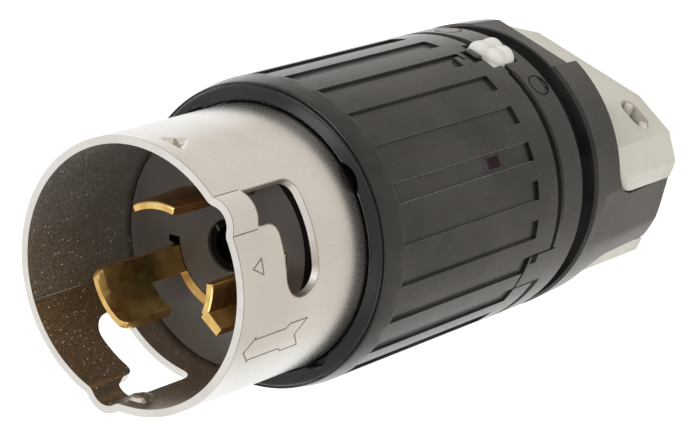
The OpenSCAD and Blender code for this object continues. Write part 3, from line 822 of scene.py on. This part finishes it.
# %% Black nylon round the latch
BODY_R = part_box("front_body")[1].x / MM
FLUSH = -0.03                        # a hair under the body's outside
PLATES = (                           # angle, height, across, along, above the body, thick, bevel
    ("latch_sill", 87.7, 44.75, 11.6, 2.1, FLUSH, 2.2, 0.03, NYLON),
    ("latch_cheek_ring", 79.4, 47.25, 2.3, 7.1, FLUSH, 2.2, 0.03, NYLON),
    ("latch_cheek_body", 79.4, 54.0, 2.3, 3.2, FLUSH, 2.2, 0.03, NYLON),
    ("latch_stop", 87.7, 57.0, 11.6, 2.9, FLUSH, 2.0, 0.03, NYLON),
    ("latch_stop_stem", 87.6, 60.9, 2.1, 5.2, FLUSH, 2.0, 0.03, NYLON),
    ("latch_stop_bar", 88.1, 62.3, 4.3, 2.0, FLUSH, 2.0, 0.03, NYLON),
    ("latch_stop_tab", 90.6, 56.7, 3.6, 2.2, 0.6, 0.6, 0.25, NYLON),
    ("latch_stop_shade", 90.2, 57.6, 4.4, 3.2, LIFT, 0.1, 0.02, SHADE_BLACK),
    ("hook_shade", 1.6, 58.6, 2.2, 2.4, LIFT, 0.1, 0.02, SHADE_BLACK))
for name, angle, height, across, along, above, thick, bevel, finish in PLATES:
    piece = roll(flat_sheet(across, along, 10, 2), name, BODY_R + above, angle, height, finish)
    wall = piece.modifiers.new("wall", "SOLIDIFY")
    wall.thickness = thick * MM
    wall.offset = -1
    rounding = piece.modifiers.new("rounding", "BEVEL")
    rounding.width = bevel * MM
    rounding.segments = 2

# %% [markdown]
# Two joints are deeper than the light reaches: the one between the body and the
# cord housing, and the one between the shroud and the lip. A dull black ring of
# painted shade stands in each, so that they read as gaps. The first is open at the latch.

# %% Painted shade in the joints
LIP_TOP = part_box("face_ring")[1].z / MM
JOINT_SHADES = (                          # radius, bottom, top, first angle, sweep
    ("joint_shade_body", BODY_R - 0.35, 50.9, 52.3, 104.0, 328.0),
    ("joint_shade_lip", SHROUD_R + 0.05, LIP_TOP - 5.0, LIP_TOP + 0.3, 0.0, 360.0))
# each ring is painted shade in its joint
for name, radius, bottom, top, start, sweep in JOINT_SHADES:
    roll(flat_sheet(math.radians(sweep) * radius, top - bottom, 180, 1), name, radius,
         start + sweep / 2, (bottom + top) / 2, SHADE_BLACK)

# %% [markdown]
# Moulding leaves marks: two round ones on the cord housing's ring where pins
# pushed it out of the mould, and a dark square one in a pocket of the body
# where the nylon went in. The pins' marks are thin black circles of painted shade
# at their edges, drawn as the stamped signs are.

# %% Marks of moulding
PIN_MARKS = (("pin_mark_side", 68.6, 46.4, 2.7), ("pin_mark_top", 114.5, 46.2, 2.9))
PIN_LINE, DEEP_SIDE = 0.3, 1.16      # line width, and the stretch where the mark is deepest
GATE_ANGLE, GATE_HEIGHT, POCKET_DEPTH = 45.2, 74.6, 0.7
# each circle is painted shade at the edge of a pin mark
for name, angle, height, radius in PIN_MARKS:
    bm = bmesh.new()
    bmesh.ops.create_circle(bm, cap_ends=True, segments=40, radius=radius)
    for vert in bm.verts:
        vert.co.y *= DEEP_SIDE if vert.co.y < 0 else 1.0
    rolled_line(bm, name, PIN_LINE, BODY_R + LIFT, angle, height, SHADE_BLACK)
bm = bmesh.new()
bmesh.ops.create_circle(bm, cap_ends=True, segments=24, radius=1)
for vert in bm.verts:                # a crescent of shade low in the side mark
    vert.co = Vector((vert.co.x * 2.2, vert.co.y * 0.55 - 0.3 * (1 - abs(vert.co.x)), 0))
roll(bm, "pin_mark_shade", BODY_R + LIFT, 68.6, 44.6, SHADE_BLACK)
for name, across, along, lift, finish in (("gate_mark", 2.5, 4.4, 2 * LIFT, GATE),
                                          ("gate_frame", 3.9, 7.0, LIFT, LIP_NYLON)):
    roll(flat_sheet(across, along, 6, 2), name, BODY_R - POCKET_DEPTH + lift, GATE_ANGLE,
         GATE_HEIGHT, finish)

# %% [markdown]
# In the upper jaw's deep recess two short posts stand at the ends, where the
# mould's core was split. A cone with a slight taper, softened at its edges, is
# all that a moulded post is.

# %% Posts in the upper jaw's recess
POSTS = (("recess_post_inner", 16.2, 6.2, 20.6), ("recess_post_outer", 22.3, 8.6, 19.6))
POST_FOOT_R, POST_TOP_R, POST_HEIGHT = 1.15, 1.0, 3.2
for name, x, z, top in POSTS:
    bm = bmesh.new()
    bmesh.ops.create_cone(bm, cap_ends=True, segments=20, radius1=POST_FOOT_R * MM,
                          radius2=POST_TOP_R * MM, depth=POST_HEIGHT * MM)
    soften(bm, 0.2)
    bmesh.ops.rotate(bm, verts=bm.verts, cent=(0, 0, 0),
                     matrix=Matrix.Rotation(-math.pi / 2, 3, "X"))
    bmesh.ops.translate(bm, verts=bm.verts, vec=Vector((x, top - POST_HEIGHT / 2, z)) * MM)
    shade(bm, 50)
    post = settle(object_from(bm, name, [IVORY]), BODY_OF["upper_jaw"], "ivory")
    print(name, len(post.data.polygons), "faces")

# %% [markdown]
# The plain blade is bent: its head is turned against its foot. It is cut across
# at several heights and turned about its middle, more and more toward the tip.

# %% The bent blade
BEND, BEND_PIVOT = 11.0, Vector((-1.45, 13.85))          # degrees; mm
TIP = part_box("blade_plain")[1].z / MM
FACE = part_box("contact_base")[1].z / MM
BLADE_CUTS = [FACE + (TIP - FACE) * k / 8 for k in range(1, 8)]
plain = BLADES["plain"]
bm = bmesh.new()
bm.from_mesh(plain.data)
cut_across(bm, BLADE_CUTS)
for vert in bm.verts:
    share = max((vert.co.z / MM - FACE) / (TIP - FACE), 0)
    arm = vert.co.xy / MM - BEND_PIVOT
    arm.rotate(Matrix.Rotation(math.radians(BEND * share), 2))
    vert.co.xy = (BEND_PIVOT + arm) * MM
shade(bm)
bm.to_mesh(plain.data)
bm.free()
print("bent", plain.name)

# %% [markdown]
# Two of the blades are darker on their sides than on their ends, so their
# upright faces get a darker copy of the brass: painted shade on the sides.

# %% Painted shade on the blades' sides
BRIGHT_BRASS, SHADED_SIDE = 0, 1
# upright faces get the darker brass: painted shade
for blade in (plain, BLADES["keyed"]):
    blade.data.materials.append(SHADED_BRASS)
    for polygon in blade.data.polygons:
        polygon.material_index = SHADED_SIDE if abs(polygon.normal.z) < 0.5 else BRIGHT_BRASS
    print(blade.name, "finishes", len(blade.data.materials))

# %% [markdown]
# The keyed blade leans: its head stands further out than its foot. The blade
# and its slot in the insulator's face are moved inward together, fully at the
# face and not at all at the head, so that the blade still fills its slot. A
# small round hole in the same face is moved and widened, and what is deep in
# the holes is painted black: painted shade.

# %% The leaning blade and the insulator's face
LEAN, LEAN_ANGLE = 1.7, math.radians(3.5)
LEAN_FROM, LEAN_TO = 0.5, 20.0       # mm above the face: full lean, none
FACE_DEPTH = 12.0                    # mm of the insulator, below its face, that take part
SLOT_REACH, SLOT_TURN = (11.5, 21.0), (-26.0, 34.0)      # mm and degrees round the slot
HOLE, HOLE_PLACE = Vector((-13.04, -5.63)), Vector((-12.6, -6.45))
HOLE_REACH, HOLE_GROWTH = 1.7, 1.15
SMALL_HOLE_R, CENTRE_HOLE_R, SHALLOW = 2.2, 4.5, 0.3
OUTWARD = Vector((math.cos(LEAN_ANGLE), math.sin(LEAN_ANGLE), 0))


def lean(vert):
    """Moves a point inward, less and less toward the blade's head."""
    share = 1 - smooth_step(FACE + LEAN_FROM, FACE + LEAN_TO, vert.co.z / MM)
    vert.co -= OUTWARD * LEAN * share * MM


keyed = BLADES["keyed"]
bm = bmesh.new()
bm.from_mesh(keyed.data)
cut_across(bm, BLADE_CUTS)
for vert in bm.verts:
    lean(vert)
bm.to_mesh(keyed.data)
bm.free()

INSULATOR.data.materials.append(SHADE_BLACK)
bm = bmesh.new()
bm.from_mesh(INSULATOR.data)
for vert in bm.verts:
    place = vert.co / MM
    reach, turn = place.xy.length, math.degrees(math.atan2(place.y, place.x))
    if place.z <= FACE - FACE_DEPTH:
        continue
    if (place.xy - HOLE).length < HOLE_REACH:
        vert.co.xy = (HOLE_PLACE + (place.xy - HOLE) * HOLE_GROWTH) * MM
    elif SLOT_REACH[0] < reach < SLOT_REACH[1] and SLOT_TURN[0] < turn < SLOT_TURN[1]:
        lean(vert)
# faces deep in the holes get the black: painted shade
for face in bm.faces:
    place = face.calc_center_median() / MM
    in_hole = ((place.xy - HOLE_PLACE).length < SMALL_HOLE_R or place.xy.length < CENTRE_HOLE_R)
    if in_hole and place.z < FACE - SHALLOW:
        face.material_index = 1
bm.to_mesh(INSULATOR.data)
bm.free()
print("leaning blade", len(keyed.data.polygons), "faces")

# %% [markdown]
# Round the edge of the insulator's face, on the windows' side, a black strip
# of painted shadow lies in the gap to the shroud. It is a strip of a ring, a hair above the face.

# %% Painted shadow on the insulator's face
SHADOW_ANGLE, SHADOW_SWEEP, SHADOW_R, SHADOW_WIDTH = 32.0, 104.0, 22.7, 7.2
# a black strip of painted shadow on the face
bm = flat_sheet(SHADOW_SWEEP, SHADOW_WIDTH, 40, 1)
for vert in bm.verts:
    vert.co = on_axis(SHADOW_R + vert.co.y, SHADOW_ANGLE + vert.co.x, FACE + LIFT)
face_shadow = object_from(bm, "face_shadow", [SHADE_BLACK])
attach(face_shadow, "plug")
print("painted face shadow", len(face_shadow.data.polygons), "faces")

# %% [markdown]
# The floor is a wide pale plane and the world a plain white surround, as in a
# light tent. To the camera both are white, and the floor keeps the shadow of
# the plug. A light tent has an opening for the camera, and metal mirrors it as
# a dimmer, warmer patch: without it, plated tube and black nylon both look
# flat. So the tent and the floor turn to a warm grey toward the camera, in
# mirrored rays alone.

# %% Floor and world
WHITE, WARM_GREY = (1, 1, 1, 1), (0.70, 0.655, 0.59, 1)
FLOOR_BEHIND, FLOOR_FRONT = -0.085, 0.035                # metres toward the camera
FLOOR_SEEN, FLOOR_MIRRORED = 0.7, 1.1                    # strengths of the floor's glow
TENT_BEHIND, TENT_FRONT = -0.6, 0.8                      # 1 is straight toward the camera
TENT_LIGHT = 0.62                                        # strength for all other rays


def ray_kinds(tree):
    """Masks for rays from the camera, and for mirrored or transmitted rays."""
    seen = node(tree, "ShaderNodeLightPath")
    mirrored = math_node(tree, "MAXIMUM", seen.outputs["Is Glossy Ray"],
                         seen.outputs["Is Transmission Ray"])
    return seen.outputs["Is Camera Ray"], mirrored


def reach_along(tree, position, direction):
    """How far a position lies along a direction."""
    made = node(tree, "ShaderNodeVectorMath", _0=position, _1=tuple(direction))
    made.operation = "DOT_PRODUCT"
    return made.outputs["Value"]


bm = bmesh.new()
bmesh.ops.create_grid(bm, x_segments=1, y_segments=1, size=4.0)
floor_finish = bpy.data.materials.new("pale floor")
floor_finish.use_nodes = True
tree = floor_finish.node_tree
tree.nodes.remove(tree.nodes["Principled BSDF"])
from_camera, from_mirror = ray_kinds(tree)
place = tree.nodes.new("ShaderNodeTexCoord")
level = Vector((TOWARD_CAMERA.x, TOWARD_CAMERA.y, 0)).normalized()
reach = reach_along(tree, place.outputs["Object"], level)
card = mix_colour(tree, remap(tree, reach, FLOOR_BEHIND, FLOOR_FRONT), WHITE, WARM_GREY)
glow = node(tree, "ShaderNodeEmission", Color=mix_colour(tree, from_camera, card, WHITE),
            Strength=math_node(tree, "MAXIMUM",
                               math_node(tree, "MULTIPLY", from_camera, FLOOR_SEEN),
                               math_node(tree, "MULTIPLY", from_mirror, FLOOR_MIRRORED)))
matte = node(tree, "ShaderNodeBsdfDiffuse",
             Color=mix_colour(tree, from_mirror, (0.8, 0.8, 0.8, 1), (0, 0, 0, 1)))
both = tree.nodes.new("ShaderNodeAddShader")
tree.links.new(glow.outputs[0], both.inputs[0])
tree.links.new(matte.outputs[0], both.inputs[1])
tree.links.new(both.outputs[0], tree.nodes["Material Output"].inputs["Surface"])
floor = object_from(bm, "floor", [floor_finish])

world = bpy.data.worlds.new("light tent")
bpy.context.scene.world = world
world.use_nodes = True
tree = world.node_tree
from_camera, from_mirror = ray_kinds(tree)
sky = tree.nodes.new("ShaderNodeTexCoord")
facing = remap(tree, reach_along(tree, sky.outputs["Generated"], TOWARD_CAMERA), TENT_BEHIND,
               TENT_FRONT)
tent = mix_colour(tree, facing, WHITE, WARM_GREY)
background = tree.nodes["Background"]
tree.links.new(mix_colour(tree, from_mirror, WHITE, tent), background.inputs["Color"])
tree.links.new(math_node(tree, "MAXIMUM", math_node(tree, "MAXIMUM", from_camera, from_mirror),
                         TENT_LIGHT), background.inputs["Strength"])
print("floor", [round(v, 1) for v in floor.dimensions], "m")

# %% [markdown]
# Two large soft lamps stand off the plug: one above the latch side as the key,
# and a weaker one from the front. Wide lamps keep the shadows in the pockets
# soft and lay a broad sheen on the black nylon.

# %% Lamps
AIM = Vector((0, 0, 0.08))           # the middle of the plug, in metres


def lamp(name, direction, distance, width, power):
    data = bpy.data.lights.new(name, "AREA")
    data.shape = "DISK"
    data.size = width
    data.energy = power
    made = bpy.data.objects.new(name, data)
    bpy.context.scene.collection.objects.link(made)
    made.location = AIM + Vector(direction).normalized() * distance
    made.rotation_mode = "QUATERNION"
    made.rotation_quaternion = (AIM - made.location).to_track_quat("-Z", "Y")
    print(name, "at", [round(v, 2) for v in made.location])


lamp("key lamp", direction=(-0.35, 0.5, 0.8), distance=1.1, width=0.6, power=4.0)
lamp("fill lamp", direction=(0.75, -0.3, 0.5), distance=1.1, width=0.6, power=3.6)
